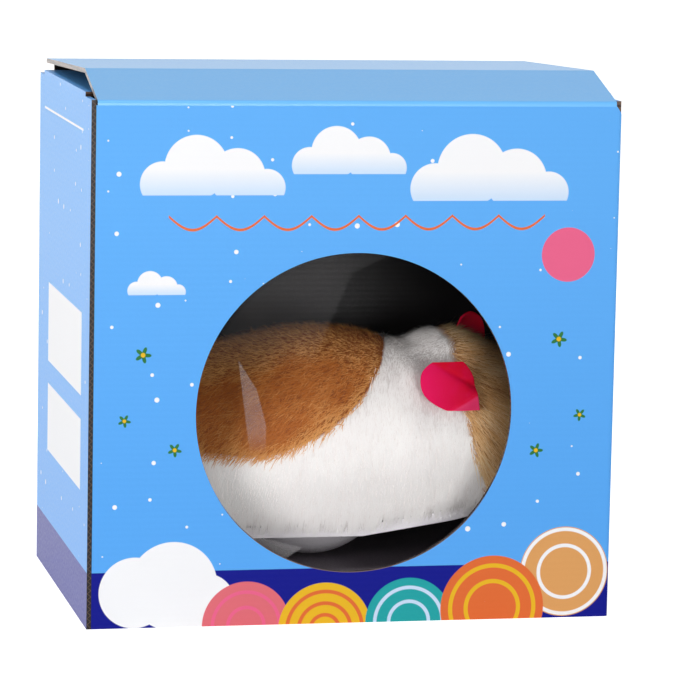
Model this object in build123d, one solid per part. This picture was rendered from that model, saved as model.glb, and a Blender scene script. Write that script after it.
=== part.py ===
from build123d import *
import math
import os

# A windowed carton that holds a plush hamster riding on a motor-driven ball.
# Millimetres. +X is to the right of the carton's front, +Y runs to its back, +Z is up.
# The origin is the middle of the carton's base.

# Carton board, and the room that the carton leaves round the toy
board = 1.6
carton_depth = 128.0
front_height = 176.2
wall_step = 1.8
toy_end_room = 8.4
fold_clear = 0.4
fold_radius = 1.2
top_cut_x = 1.8
top_cut_z = 2.6
overrun = 20.0

# Window, film and glue tab
window_radius = 54.0
window_z = 71.6
film_thickness = 0.4
film_margin = 6.0
tab_width = 24.0
tab_foot_gap = 1.0
tab_taper = 8.0

# Lid: a strip that rises from the front crease, then a top that falls to the back
bevel_run = 30.0
bevel_rise = 8.5
lid_back_rise = 5.3
lid_back_gap = 0.8
tuck_depth = 18.0
tuck_corner = 8.0
tuck_side_gap = 3.0
tuck_lean = 9.0

# Dust flaps at the top and glued flaps at the bottom
dust_reach = 50.0
dust_front_gap = 14.0
dust_back_gap = 12.0
dust_front_taper = 16.0
dust_back_taper = 6.0
bottom_flap_reach = 58.0
bottom_flap_taper = 5.0

# Black card platform under the toy
card = 1.2
insert_side_gap = 0.4
insert_end_gap = 2.0
rest_gap = 0.3

# Ball: two shells that turn on a fixed axle
ball_radius = 28.0
ball_wall = 1.8
ball_x = -2.0
ball_bottom = 12.0
lap_length = 1.6
lap_clear = 0.1
axle_radius = 2.5
axle_bore = 1.3
running_clear = 0.06
seat_clear = 0.05
hub_radius = 4.5
hub_depth = 12.5
idle_hub_depth = 11.0
hub_flat = 3.4
boss_radius = 2.4
boss_inset = 1.8
boss_half_length = 7.0
boss_count = 3
ball_screw_radius = 0.9
ball_screw_head_radius = 1.6
ball_screw_length = 9.0
ball_screw_head_depth = 1.4

# Gear train, all axes parallel to the axle
gear_module_share = 1 / 56
output_teeth = 36
small_teeth = 10
large_teeth = 34
pinion_teeth = 9
addendum_share = 0.85
dedendum_share = 1.15
backlash_share = 0.12
pressure_angle = 20.0
flank_steps = 4
output_face = 2.5
large_face = 1.8
gear_gap = 0.3
pinion_side = 67.0
pin_radius = 0.75
pin_over = 0.5

# Chassis and motor inside the ball
plate_thickness = 1.6
chassis_gap = 0.4
right_plate_inset = 8.0
axle_land = 6.0
pin_land = 3.5
motor_land = 6.4
post_land = 3.0
post_radius = 1.8
post_a_x = -8.0
post_a_z = -4.0
post_b_x = 6.0
post_b_z = 8.0
motor_radius = 5.0
motor_flat = 4.0
motor_end_gap = 2.4
motor_boss_radius = 1.5
shaft_radius = 0.5
end_cap_length = 2.0
end_cap_inset = 0.4

# Base plate: flat at the back, rising towards the head
plate_bottom = 24.0
plate = 2.0
plate_rear_x = -68.0
plate_front_x = 60.0
plate_corner = 22.0
bend_x = 10.0
ramp_angle = 8.8
ball_hole_clear = 0.5
rim_height = 1.6
rim_width = 1.8

# Housing over the ball
housing_gap = 0.8
housing_wall = 1.6
flange_gap = 0.4
flange = 1.6
flange_edge = 1.8
axle_boss_radius = 5.0
axle_boss_length = 3.6
housing_screw_out = 0.6
housing_screw_count = 4
housing_screw_turn = 45.0
housing_screw_radius = 0.9
housing_screw_head = 1.5
housing_screw_head_depth = 1.0

# Battery compartment
cell_radius = 5.25
cell_length = 44.5
cell_gap = 0.6
box_wall = 1.4
box_front_gap = 0.6
contact = 0.5
contact_gap = 0.25
door = 1.5
door_overlap = 2.0
door_clear = 0.3
door_rib_count = 4
door_rib = 0.6
door_rib_pitch = 2.2
rail_web = 1.4
rail_lip = 1.3
rail_lip_reach = 1.6

# Power switch and circuit board, measured along the ramp
switch_x = 43.0
switch_travel = 4.0
knob_length = 3.0
knob_width = 2.4
knob_drop = 1.8
knob_height = 2.2
slot_clear = 0.3
switch_body_length = 11.0
switch_body_width = 5.6
switch_body_height = 4.2
switch_wall = 0.5
pcb = 1.2
pcb_length = 26.0
pcb_width = 14.0
pcb_post_radius = 2.2
pcb_post_y = 9.6
pcb_screw_radius = 0.8
pcb_screw_head = 1.7
pcb_screw_head_depth = 1.0
pcb_screw_depth = 3.0

# Plush forms
plush_clear = 0.4
body_rear_x = -72.0
body_length = 114.0
hem_thickness = 6.0
body_bottom = 20.0
body_top = 92.7
head_rear_x = 30.0
head_length = 50.0
head_half_width = 35.0
head_bottom = 26.0
head_top = 91.6
patch_depth = 100.0
ear_length = 21.0
ear_width = 17.0
ear_base = 11.0
ear_thickness = 3.2
eye_radius = 3.2
nose_radius = 3.6

# Worked out from the values above
carton_width = 2 * (head_rear_x + head_length + toy_end_room + board)
wall_height = front_height + wall_step
left_in = -carton_width / 2 + board
right_in = carton_width / 2 - board
front_face = -carton_depth / 2
front_in = front_face + board
back_in = carton_depth / 2 - board
ball_z = ball_bottom + ball_radius
hub_inner_y = ball_radius - hub_depth
idle_hub_inner_y = ball_radius - idle_hub_depth
boss_circle = ball_radius - ball_wall - boss_inset
gear_module = ball_radius * gear_module_share
right_plate_y = idle_hub_inner_y - right_plate_inset
housing_screw_circle = ball_radius + housing_gap + housing_wall + housing_screw_out
ramp_slope = math.tan(math.radians(ramp_angle))
plate_top = plate_bottom + plate
flange_radius = housing_screw_circle + flange_edge
plate_half_width = flange_radius + flange_gap + rim_width
body_half_width = plate_half_width + hem_thickness


def block(x0, x1, y0, y1, z0, z1):
    """A box between two corners."""
    return Pos((x0 + x1) / 2, (y0 + y1) / 2, (z0 + z1) / 2) * Box(x1 - x0, y1 - y0, z1 - z0)


def rod_y(radius, y0, y1, x, z):
    """A cylinder along Y."""
    return Pos(x, (y0 + y1) / 2, z) * Rot(90, 0, 0) * Cylinder(radius, y1 - y0)


def rod_z(radius, z0, z1, x, y):
    """A cylinder along Z."""
    return Pos(x, y, (z0 + z1) / 2) * Cylinder(radius, z1 - z0)


def prism_xz(points, y0, y1):
    """An outline in X and Z, extruded along Y."""
    face = make_face(Polyline(*points, close=True))
    return Pos(0, y1, 0) * extrude(Plane.XZ * face, amount=y1 - y0)


def prism_yz(points, x0, x1):
    """An outline in Y and Z, extruded along X."""
    face = make_face(Polyline(*points, close=True))
    return Pos(x0, 0, 0) * extrude(Plane.YZ * face, amount=x1 - x0)


def prism_xy(points, z0, z1):
    """An outline in X and Y, extruded along Z."""
    face = make_face(Polyline(*points, close=True))
    return Pos(0, 0, z0) * extrude(face, amount=z1 - z0)


def save(name, shape):
    """Write one named piece, as one solid or as a group of solids."""
    solids = list(shape) if isinstance(shape, (list, tuple)) else list(shape.solids())
    piece = solids[0] if len(solids) == 1 else Compound(children=solids)
    piece.label = name
    export_step(piece, os.path.join("parts", name + ".step"))


def mirror_x(shape):
    """The same piece on the other side of the carton."""
    return mirror(shape, about=Plane.YZ)


# Carton walls

def outer_corners(panel, x_side, y_side):
    """The upright edges of a panel that lie on an outer corner of the carton."""
    side = panel.edges().filter_by(Axis.Z).group_by(Axis.X)[x_side]
    return [edge for edge in side if math.isclose(edge.center().Y, y_side)]


def make_walls():
    """The left panel's raw edge shows at the front; the other three corners are rounded folds."""
    side = carton_width / 2
    back_face = carton_depth / 2
    front_top = front_height - board
    wall_top = wall_height - board
    outline = [(left_in, 0), (side, 0), (side, front_top - top_cut_z), (side - top_cut_x, front_top),
               (left_in, front_top)]
    front = prism_xz(outline, front_face, front_in)
    front = fillet(outer_corners(front, -1, front_face), fold_radius)
    front -= rod_y(window_radius, front_face - overrun, front_in + overrun, 0, window_z)
    back = block(-side, side, back_in, back_face, 0, wall_top)
    back = fillet(outer_corners(back, 0, back_face) + outer_corners(back, -1, back_face), fold_radius)
    save("front_panel", front)
    save("left_panel", block(-side, left_in, front_face, back_in, 0, wall_top))
    save("right_panel", block(right_in, side, front_in, back_in, 0, wall_top))
    save("back_panel", back)


def make_glue_tab():
    """Folded back from the front panel and glued inside the left panel."""
    low = 2 * board + tab_foot_gap
    high = front_height - board - tab_foot_gap
    outline = [(front_in, low), (front_in + tab_width, low + tab_taper),
               (front_in + tab_width, high - tab_taper), (front_in, high)]
    save("glue_tab", prism_yz(outline, left_in, left_in + board))


def make_bottom():
    save("bottom_panel", block(left_in, right_in, front_in, back_in, 0, board))
    flap_front = front_in + fold_clear
    flap_back = back_in - fold_clear
    outline = [(left_in, flap_front), (left_in + bottom_flap_reach, flap_front + bottom_flap_taper),
               (left_in + bottom_flap_reach, flap_back - bottom_flap_taper), (left_in, flap_back)]
    flap = prism_xy(outline, board, 2 * board)
    save("bottom_flap_left", flap)
    save("bottom_flap_right", mirror_x(flap))


def make_window_film():
    reach = window_radius + film_margin
    low = max(window_z - reach, 2 * board + fold_clear)
    save("window_film", block(-reach, reach, front_in, front_in + film_thickness, low, window_z + reach))


def make_insert():
    """A black card platform with two folded legs that stand on the bottom flaps."""
    top = ball_bottom - rest_gap
    reach = right_in - board - insert_side_gap
    foot = 2 * board
    outline = [(-reach, foot), (-reach, top), (reach, top), (reach, foot), (reach - card, foot),
               (reach - card, top - card), (-reach + card, top - card), (-reach + card, foot)]
    save("insert_tray", prism_xz(outline, front_in + film_thickness + fold_clear, back_in - insert_end_gap))


# Lid and flaps

def lid_line():
    """The lid's outer face from the front crease to the back edge."""
    crease = (front_face, front_height)
    ridge = (front_face + bevel_run, front_height + bevel_rise)
    rear = (back_in - lid_back_gap, front_height + lid_back_rise)
    return crease, ridge, rear


def make_lid():
    crease, ridge, rear = lid_line()
    under = [(y, z - board) for y, z in (rear, ridge, crease)]
    reach = right_in - fold_clear
    lid = prism_yz([crease, ridge, rear] + under, -reach, reach)
    folds = [edge for edge in lid.edges().filter_by(Axis.X)
             if any(math.isclose(edge.center().Y, y) and math.isclose(edge.center().Z, z)
                    for y, z in (crease, ridge, rear))]
    save("lid_panel", fillet(folds, fold_radius))


def make_tuck_flap():
    rear = lid_line()[2]
    reach = right_in - tuck_side_gap
    flap = block(-reach, reach, -board, 0, -tuck_depth, -board - fold_clear)
    low_edges = flap.edges().filter_by(Axis.Y).group_by(Axis.Z)[0]
    flap = fillet(low_edges, tuck_corner)
    save("tuck_flap", Pos(0, rear[0], rear[1]) * Rot(-tuck_lean, 0, 0) * flap)


def make_dust_flaps():
    outer = -carton_width / 2
    y0 = front_face + dust_front_gap
    y1 = carton_depth / 2 - dust_back_gap
    outline = [(outer, y0), (outer + dust_reach, y0 + dust_front_taper),
               (outer + dust_reach, y1 - dust_back_taper), (outer, y1)]
    flap = prism_xy(outline, wall_height - board, wall_height)
    save("dust_flap_left", flap)
    save("dust_flap_right", mirror_x(flap))


# Gears

def involute(angle):
    return math.tan(angle) - angle


def gear_points(teeth, turn):
    """The outline of a spur gear whose first tooth points at an angle of turn."""
    pitch = gear_module * teeth / 2
    base = pitch * math.cos(math.radians(pressure_angle))
    tip = pitch + gear_module * addendum_share
    root = pitch - gear_module * dedendum_share
    half = math.pi / (2 * teeth) - gear_module * backlash_share / (2 * pitch)
    at_pitch = involute(math.radians(pressure_angle))
    flank = []
    start = max(base, root)
    for step in range(flank_steps + 1):
        radius = start + (tip - start) * step / flank_steps
        offset = half + at_pitch - involute(math.acos(min(base / radius, 1)))
        flank.append((radius, offset))
    if root < base:
        flank.insert(0, (root, flank[0][1]))
    points = []
    for tooth in range(teeth):
        middle = turn + 2 * math.pi * tooth / teeth
        left = [(r, middle - a) for r, a in flank]
        right = [(r, middle + a) for r, a in reversed(flank)]
        points += [(r * math.cos(a), r * math.sin(a)) for r, a in left + right]
    return points


def gear(teeth, turn, y0, y1, x, z):
    return Pos(x, 0, z) * prism_xz(gear_points(teeth, turn), y0, y1)


# Layers of the gear train along the axle, from the left hub inwards
output_y0 = -hub_inner_y - output_face
output_y1 = -hub_inner_y
large_y0 = output_y1 + gear_gap
large_y1 = large_y0 + large_face
chassis_y0 = large_y1 + chassis_gap
chassis_y1 = chassis_y0 + plate_thickness
motor_y1 = right_plate_y - motor_end_gap - end_cap_length

# Axes of the gear train in X and Z
pin_x = ball_x
pin_z = ball_z - gear_module * (output_teeth + small_teeth) / 2
pinion_reach = gear_module * (large_teeth + pinion_teeth) / 2
pinion_turn = math.radians(90 - pinion_side)
pinion_x = pin_x + pinion_reach * math.cos(pinion_turn)
pinion_z = pin_z + pinion_reach * math.sin(pinion_turn)


def make_gears():
    down = -math.pi / 2
    bore = rod_y(hub_radius + seat_clear, output_y0 - overrun, output_y1 + overrun, ball_x, ball_z)
    flat = block(ball_x - hub_radius, ball_x + hub_radius, output_y0, output_y1,
                 ball_z + hub_flat + seat_clear, ball_z + hub_radius + overrun)
    save("output_gear", gear(output_teeth, down, output_y0, output_y1, ball_x, ball_z) - (bore - flat))
    small_turn = -down + math.pi / small_teeth
    pin_hole = rod_y(pin_radius + running_clear, output_y0 - overrun, large_y1 + overrun, pin_x, pin_z)
    small = gear(small_teeth, small_turn, output_y0, large_y0, pin_x, pin_z)
    large = gear(large_teeth, pinion_turn, large_y0, large_y1, pin_x, pin_z)
    save("compound_gear", small + large - pin_hole)
    save("compound_pin", rod_y(pin_radius, output_y0 - pin_over, chassis_y1, pin_x, pin_z))
    facing = pinion_turn + math.pi + math.pi / pinion_teeth
    shaft_fit = shaft_radius + seat_clear
    shaft_hole = rod_y(shaft_fit, large_y0 - overrun, large_y1 + overrun, pinion_x, pinion_z)
    save("motor_pinion", gear(pinion_teeth, facing, large_y0, large_y1, pinion_x, pinion_z) - shaft_hole)
    save("motor_shaft", rod_y(shaft_radius, large_y0, chassis_y1, pinion_x, pinion_z))


# Chassis, motor and axle, which stay still inside the ball

def land(x, z, radius):
    return Pos(x, z) * Circle(radius)


def hull_plate(lands, y0, y1):
    face = make_hull([spot.edge() for spot in lands])
    return Pos(0, y1, 0) * extrude(Plane.XZ * face, amount=y1 - y0)


def make_chassis():
    post_a = (ball_x + post_a_x, ball_z + post_a_z)
    post_b = (ball_x + post_b_x, ball_z + post_b_z)
    posts = [post_a, post_b]
    post_lands = [land(x, z, post_land) for x, z in posts]
    middle = land(ball_x, ball_z, axle_land)
    gear_side = hull_plate([middle, land(pin_x, pin_z, pin_land), land(pinion_x, pinion_z, motor_land)]
                           + post_lands, chassis_y0, chassis_y1)
    idle_side = hull_plate([middle] + post_lands, right_plate_y, right_plate_y + plate_thickness)
    body = gear_side + idle_side
    for x, z in posts:
        body += rod_y(post_radius, chassis_y1, right_plate_y, x, z)
    body -= rod_y(axle_radius + seat_clear, -ball_radius, ball_radius, ball_x, ball_z)
    body -= rod_y(pin_radius + seat_clear, chassis_y0 - overrun, chassis_y1, pin_x, pin_z)
    body -= rod_y(motor_boss_radius, chassis_y0 - overrun, chassis_y1, pinion_x, pinion_z)
    save("gear_chassis", body)


def make_motor():
    can = rod_y(motor_radius, chassis_y1, motor_y1, pinion_x, pinion_z)
    can = can & block(pinion_x - motor_radius, pinion_x + motor_radius, chassis_y1, motor_y1,
                      pinion_z - motor_flat, pinion_z + motor_flat)
    save("motor_can", can)
    cap_y1 = motor_y1 + end_cap_length
    cap = rod_y(motor_radius - end_cap_inset, motor_y1, cap_y1, pinion_x, pinion_z)
    flat = motor_flat - end_cap_inset
    save("motor_end_cap", cap & block(pinion_x - motor_radius, pinion_x + motor_radius, motor_y1, cap_y1,
                                      pinion_z - flat, pinion_z + flat))


def make_axle():
    reach = ball_radius + housing_gap + axle_boss_length
    tube = rod_y(axle_radius, -reach, reach, ball_x, ball_z)
    save("axle", tube - rod_y(axle_bore, -reach - overrun, reach + overrun, ball_x, ball_z))


# Ball

def ball_sphere(radius):
    return Pos(ball_x, 0, ball_z) * Sphere(radius)


def boss_places():
    for index in range(boss_count):
        angle = 2 * math.pi * index / boss_count
        yield ball_x + boss_circle * math.cos(angle), ball_z + boss_circle * math.sin(angle)


def on_sphere(radius, across):
    """How far along the axle a sphere's wall lies at a distance across from the axle."""
    return math.sqrt(radius ** 2 - across ** 2)


def arc_between(radius, start, end):
    """An arc of a circle about the origin between two points on it."""
    middle = Vector(start[0] + end[0], start[1] + end[1]).normalized() * radius
    return ThreePointArc(start, (middle.X, middle.Y), end)


def turned(edges):
    """A half outline turned about the axle."""
    return Pos(ball_x, 0, ball_z) * revolve(make_face(edges), axis=Axis.Y)


def left_shell_form():
    """The driven half, with the lap that enters the other half and the hub that carries the gear."""
    inner = ball_radius - ball_wall
    lap = ball_radius - ball_wall / 2
    bore = axle_radius + running_clear
    pole = (bore, -on_sphere(ball_radius, bore))
    root = (hub_radius, -on_sphere(inner, hub_radius))
    corners = [(ball_radius, 0), (lap, 0), (lap, lap_length), (inner, lap_length), (inner, 0)]
    hub = [root, (hub_radius, -hub_inner_y), (bore, -hub_inner_y), pole]
    return turned([arc_between(ball_radius, pole, corners[0]), Polyline(*corners),
                   arc_between(inner, corners[-1], root), Polyline(*hub)])


def right_shell_form():
    """The idle half, with the step that takes the lap."""
    inner = ball_radius - ball_wall
    lap = ball_radius - ball_wall / 2 + lap_clear
    step = lap_length + lap_clear
    bore = axle_radius + running_clear
    pole = (bore, on_sphere(ball_radius, bore))
    root = (hub_radius, on_sphere(inner, hub_radius))
    corners = [(ball_radius, 0), (lap, 0), (lap, step), (on_sphere(inner, step), step)]
    hub = [root, (hub_radius, idle_hub_inner_y), (bore, idle_hub_inner_y), pole]
    return turned([arc_between(ball_radius, pole, corners[0]), Polyline(*corners),
                   arc_between(inner, corners[-1], root), Polyline(*hub)])


def make_ball():
    ball = ball_sphere(ball_radius)
    left = left_shell_form()
    left -= block(ball_x - hub_radius, ball_x + hub_radius, output_y0, output_y1,
                  ball_z + hub_flat, ball_z + hub_radius)
    right = right_shell_form()
    screws = []
    step = lap_length + lap_clear
    head_y = boss_half_length - ball_screw_head_depth
    tip_y = head_y - ball_screw_length
    for x, z in boss_places():
        left += rod_y(boss_radius, -boss_half_length, 0, x, z) & ball
        right += rod_y(boss_radius, step, boss_half_length, x, z) & ball
        hole = rod_y(ball_screw_radius + seat_clear, tip_y - seat_clear, head_y, x, z)
        hole += rod_y(ball_screw_head_radius + seat_clear, head_y, ball_radius, x, z)
        left -= hole
        right -= hole
        shank = rod_y(ball_screw_radius, tip_y, head_y, x, z)
        screws.append(shank + rod_y(ball_screw_head_radius, head_y, boss_half_length, x, z))
    save("ball_shell_left", left)
    save("ball_shell_right", right)
    save("ball_screws", screws)


# Base plate and what stands on it

def ramp_z(x, z):
    """The height of a layer that bends up at the ramp."""
    return z + max(x - bend_x, 0) * ramp_slope


def layer(z0, z1, y_reach):
    """A layer that is flat at the back and rises along the ramp."""
    x0 = plate_rear_x - overrun
    x1 = plate_front_x + overrun
    outline = [(x0, z0), (bend_x, z0), (x1, ramp_z(x1, z0)), (x1, ramp_z(x1, z1)), (bend_x, z1), (x0, z1)]
    return prism_xz(outline, -y_reach, y_reach)


def plate_outline(grow):
    length = plate_front_x - plate_rear_x + 2 * grow
    outline = RectangleRounded(length, 2 * (plate_half_width + grow), plate_corner + grow)
    return Pos((plate_front_x + plate_rear_x) / 2, 0, 0) * extrude(outline, amount=body_top)


def on_ramp(x):
    """The place on the plate's top face at x, with its Z along the ramp's normal."""
    return Pos(x, 0, ramp_z(x, plate_top)) * Rot(0, -ramp_angle, 0)


box_inner_width = 4 * cell_radius + 3 * cell_gap
box_x1 = ball_x - flange_radius - box_front_gap
box_x0 = box_x1 - box_inner_width - 2 * box_wall
box_inner_half = cell_length / 2 + contact + 2 * contact_gap
box_half = box_inner_half + box_wall
box_inner_height = 2 * cell_radius + cell_gap
ball_hole_top = ramp_z(ball_x + ball_radius, plate_top)
ball_hole = math.sqrt(ball_radius ** 2 - (ball_z - ball_hole_top) ** 2) + ball_hole_clear
door_half = box_inner_half + door_overlap
door_x0 = box_x0 + box_wall - door_overlap
door_x1 = box_x1 - box_wall + door_overlap


def housing_screw_places():
    for index in range(housing_screw_count):
        angle = math.radians(housing_screw_turn) + 2 * math.pi * index / housing_screw_count
        x = ball_x + housing_screw_circle * math.cos(angle)
        yield x, housing_screw_circle * math.sin(angle)


def make_base_plate():
    body = layer(plate_bottom, plate_top, plate_half_width) & plate_outline(0)
    rim = layer(plate_top, plate_top + rim_height, plate_half_width) & plate_outline(0)
    body += rim - plate_outline(-rim_width)
    body -= rod_z(ball_hole, 0, body_top, ball_x, 0)
    body -= block(box_x0 + box_wall, box_x1 - box_wall, -box_inner_half, box_inner_half, 0, body_top)
    rail_y = door_half + door_clear
    door_low = plate_bottom - door_clear - door - door_clear
    web = block(door_x0, door_x1, rail_y, rail_y + rail_web, door_low - rail_lip, plate_bottom)
    lip = block(door_x0, door_x1, rail_y - rail_lip_reach, rail_y, door_low - rail_lip, door_low)
    rail = web + lip
    body += rail + mirror(rail, about=Plane.XZ)
    slot_half = (switch_travel + knob_length) / 2 + slot_clear
    slot_width = knob_width / 2 + slot_clear
    body -= on_ramp(switch_x) * block(-slot_width, slot_width, -slot_half, slot_half, -overrun, overrun)
    for y in (-pcb_post_y, pcb_post_y):
        post = rod_z(pcb_post_radius, 0, switch_body_height, 0, y)
        hole_foot = switch_body_height - pcb_screw_depth
        hole = rod_z(pcb_screw_radius + seat_clear, hole_foot, switch_body_height, 0, y)
        body += on_ramp(switch_x) * post
        body -= on_ramp(switch_x) * hole
    for x, y in housing_screw_places():
        body -= rod_z(housing_screw_radius + seat_clear, 0, body_top, x, y)
    save("base_plate", body)


def make_housing():
    outer = ball_radius + housing_gap + housing_wall
    below = layer(-overrun, plate_top, outer + overrun)
    dome = ball_sphere(outer) - below
    ring = layer(plate_top, plate_top + flange, outer + overrun)
    ring &= rod_z(flange_radius, 0, body_top, ball_x, 0)
    reach = ball_radius + housing_gap + axle_boss_length
    bosses = rod_y(axle_boss_radius, -reach, reach, ball_x, ball_z)
    housing = dome + ring + bosses - ball_sphere(ball_radius + housing_gap)
    housing -= rod_y(axle_radius + seat_clear, -reach - overrun, reach + overrun, ball_x, ball_z)
    screws = []
    for x, y in housing_screw_places():
        top = ramp_z(x + housing_screw_head, plate_top + flange)
        housing -= rod_z(housing_screw_radius + seat_clear, 0, top, x, y)
        shank = rod_z(housing_screw_radius, plate_bottom, top, x, y)
        screws.append(shank + rod_z(housing_screw_head, top, top + housing_screw_head_depth, x, y))
    save("ball_housing", housing)
    save("housing_screws", screws)


def make_battery():
    top = plate_top + box_inner_height
    shell = block(box_x0, box_x1, -box_half, box_half, plate_top, top + box_wall)
    shell -= block(box_x0 + box_wall, box_x1 - box_wall, -box_inner_half, box_inner_half, plate_top, top)
    save("battery_box", shell)
    cells = []
    contacts = []
    cell_z = top - cell_radius - contact_gap
    for side in (0, 1):
        x = box_x0 + box_wall + cell_gap + cell_radius + side * (2 * cell_radius + cell_gap)
        cells.append(rod_y(cell_radius, -cell_length / 2, cell_length / 2, x, cell_z))
        for end in (-1, 1):
            inner = end * (cell_length / 2 + contact_gap)
            outer = end * (cell_length / 2 + contact_gap + contact)
            y0, y1 = sorted((inner, outer))
            contacts.append(rod_y(cell_radius - cell_gap, y0, y1, x, cell_z))
    save("battery_cells", cells)
    save("battery_contacts", contacts)
    door_top = plate_bottom - door_clear
    cover = block(door_x0, door_x1, -door_half, door_half, door_top - door, door_top)
    for index in range(door_rib_count):
        x = door_x0 + door_rib_pitch * (index + 1)
        rib = rod_y(door_rib, -cell_radius, cell_radius, x, door_top - door)
        cover += rib
    save("battery_door", cover)


def make_switch():
    place = on_ramp(switch_x)
    half = switch_body_length / 2
    wide = switch_body_width / 2
    can = block(-wide, wide, -half, half, 0, switch_body_height)
    can -= block(-wide + switch_wall, wide - switch_wall, -half + switch_wall, half - switch_wall,
                 0, switch_body_height - switch_wall)
    save("switch_body", place * can)
    off_y = -switch_travel / 2
    knob = block(-knob_width / 2, knob_width / 2, off_y - knob_length / 2, off_y + knob_length / 2,
                 -plate - knob_drop, knob_height)
    carriage = block(-wide + switch_wall + slot_clear, wide - switch_wall - slot_clear,
                     off_y - knob_length / 2, off_y + knob_length / 2, slot_clear, knob_height)
    save("power_switch", place * (knob + carriage))
    card_z = switch_body_height
    sheet = block(-pcb_width / 2, pcb_width / 2, -pcb_length / 2, pcb_length / 2, card_z, card_z + pcb)
    screws = []
    for y in (-pcb_post_y, pcb_post_y):
        sheet -= rod_z(pcb_screw_radius + seat_clear, card_z, card_z + pcb, 0, y)
        shank = rod_z(pcb_screw_radius, card_z - pcb_screw_depth, card_z + pcb, 0, y)
        head = rod_z(pcb_screw_head, card_z + pcb, card_z + pcb + pcb_screw_head_depth, 0, y)
        screws.append(place * (shank + head))
    save("circuit_board", place * sheet)
    save("board_screws", screws)


# Plush

side_share = 0.88
shoulder_share = 0.62
shoulder_height_share = 0.86
belly_height_share = 0.45

# Along the length: place, half width, bottom and top
body_shares = [(0.0, 0.36, 0.34, 0.62), (0.08, 0.78, 0.10, 0.83), (0.32, 0.96, 0.0, 0.92),
               (0.63, 1.0, 0.0, 1.0), (0.88, 0.88, 0.0, 0.93), (1.0, 0.78, 0.0, 0.92)]
head_shares = [(0.0, 0.82, 0.06, 0.90), (0.28, 1.0, 0.0, 1.0), (0.58, 0.94, 0.04, 0.94),
               (0.82, 0.66, 0.13, 0.76), (1.0, 0.26, 0.30, 0.54)]
# The tan patch covers the back and rump: place along the body, height
patch_shares = [(0.76, 1.05), (0.735, 0.855), (0.65, 0.60), (0.55, 0.49), (0.42, 0.42), (0.0, 0.42)]


def soft_section(x, half_width, bottom, top):
    """A rounded cross-section: a flat underside, two swelling sides and a crowned top."""
    height = top - bottom
    low = half_width * side_share
    high = half_width * shoulder_share
    shoulder = bottom + height * shoulder_height_share
    waist = bottom + height * belly_height_share
    return Face(Wire([
        Line((x, -low, bottom), (x, low, bottom)),
        ThreePointArc((x, low, bottom), (x, half_width, waist), (x, high, shoulder)),
        ThreePointArc((x, high, shoulder), (x, 0, top), (x, -high, shoulder)),
        ThreePointArc((x, -high, shoulder), (x, -half_width, waist), (x, -low, bottom)),
    ]))


def soft_form(shares, x0, length, half_width, bottom, top):
    height = top - bottom
    sections = []
    for place, wide, low, high in shares:
        x = x0 + length * place
        sections.append(soft_section(x, half_width * wide, bottom + height * low, bottom + height * high))
    return loft(sections)


def toy_cavity():
    """The room that the housing, battery box and circuit board take up inside the plush."""
    outer = ball_radius + housing_gap + housing_wall + plush_clear
    reach = ball_radius + housing_gap + axle_boss_length + plush_clear
    room = ball_sphere(outer)
    room += rod_y(axle_boss_radius + plush_clear, -reach, reach, ball_x, ball_z)
    head_tilt = 2 * housing_screw_head * ramp_slope
    head_room = plate_top + flange + housing_screw_head_depth + head_tilt + plush_clear
    room += layer(0, head_room, outer + overrun) & rod_z(flange_radius + plush_clear, 0, body_top, ball_x, 0)
    box_side = box_half + plush_clear
    box_top = plate_top + box_inner_height + box_wall + plush_clear
    room += block(box_x0 - plush_clear, box_x1 + plush_clear, -box_side, box_side, 0, box_top)
    board_top = switch_body_height + pcb + pcb_screw_head_depth + plush_clear
    room += on_ramp(switch_x) * block(-pcb_width / 2 - plush_clear, pcb_width / 2 + plush_clear,
                                      -pcb_length / 2 - plush_clear, pcb_length / 2 + plush_clear,
                                      -plate, board_top)
    return room


def make_plush():
    hem = plate_top + rim_height + plush_clear
    below = layer(-overrun, hem, carton_depth / 2)
    body = soft_form(body_shares, body_rear_x, body_length, body_half_width, body_bottom, body_top)
    head = soft_form(head_shares, head_rear_x, head_length, head_half_width, head_bottom, head_top)
    room = toy_cavity()
    head = head - body - below - room
    body_height = body_top - body_bottom
    line = [(body_rear_x + body_length * x, body_bottom + body_height * z) for x, z in patch_shares]
    rear = body_rear_x - overrun
    line += [(rear, line[-1][1]), (rear, body_top + overrun), (line[0][0], body_top + overrun)]
    patch_room = prism_xz(line, -patch_depth / 2, patch_depth / 2)
    body = body - below - room
    save("plush_body", body - patch_room)
    save("rear_patch", body & patch_room)
    save("plush_head", head)
    return body + head


def ear_form():
    """A leaf with a narrow root, lying in X and Z with its root at the origin and its tip at -X."""
    low = Line((0, ear_base / 2), (0, -ear_base / 2))
    under = ThreePointArc((0, -ear_base / 2), (-ear_length / 2, -ear_width / 2), (-ear_length, 0))
    over = ThreePointArc((-ear_length, 0), (-ear_length / 2, ear_width / 2), (0, ear_base / 2))
    face = make_face([low, under, over])
    return Pos(0, ear_thickness / 2, 0) * extrude(Plane.XZ * face, amount=ear_thickness)


# Places on the head: along its length, across its half width and up its height
ear_right_shares = (0.36, -0.86, 0.80)
ear_left_shares = (0.62, 0.56, 0.80)
eye_right_shares = (0.82, -0.50, 0.62)
eye_left_shares = (0.82, 0.50, 0.62)
nose_shares = (1.0, 0.0, 0.44)
ear_right_turn = Rot(-14, 6, -10)
ear_left_turn = Rot(-20, 122, 0)


def on_head(shares):
    along, across, up = shares
    return Pos(head_rear_x + head_length * along, head_half_width * across,
               head_bottom + (head_top - head_bottom) * up)


def outside(shape, plush):
    """What stands out of the plush."""
    return (shape - plush).solids().sort_by(SortBy.VOLUME)[-1]


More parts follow.
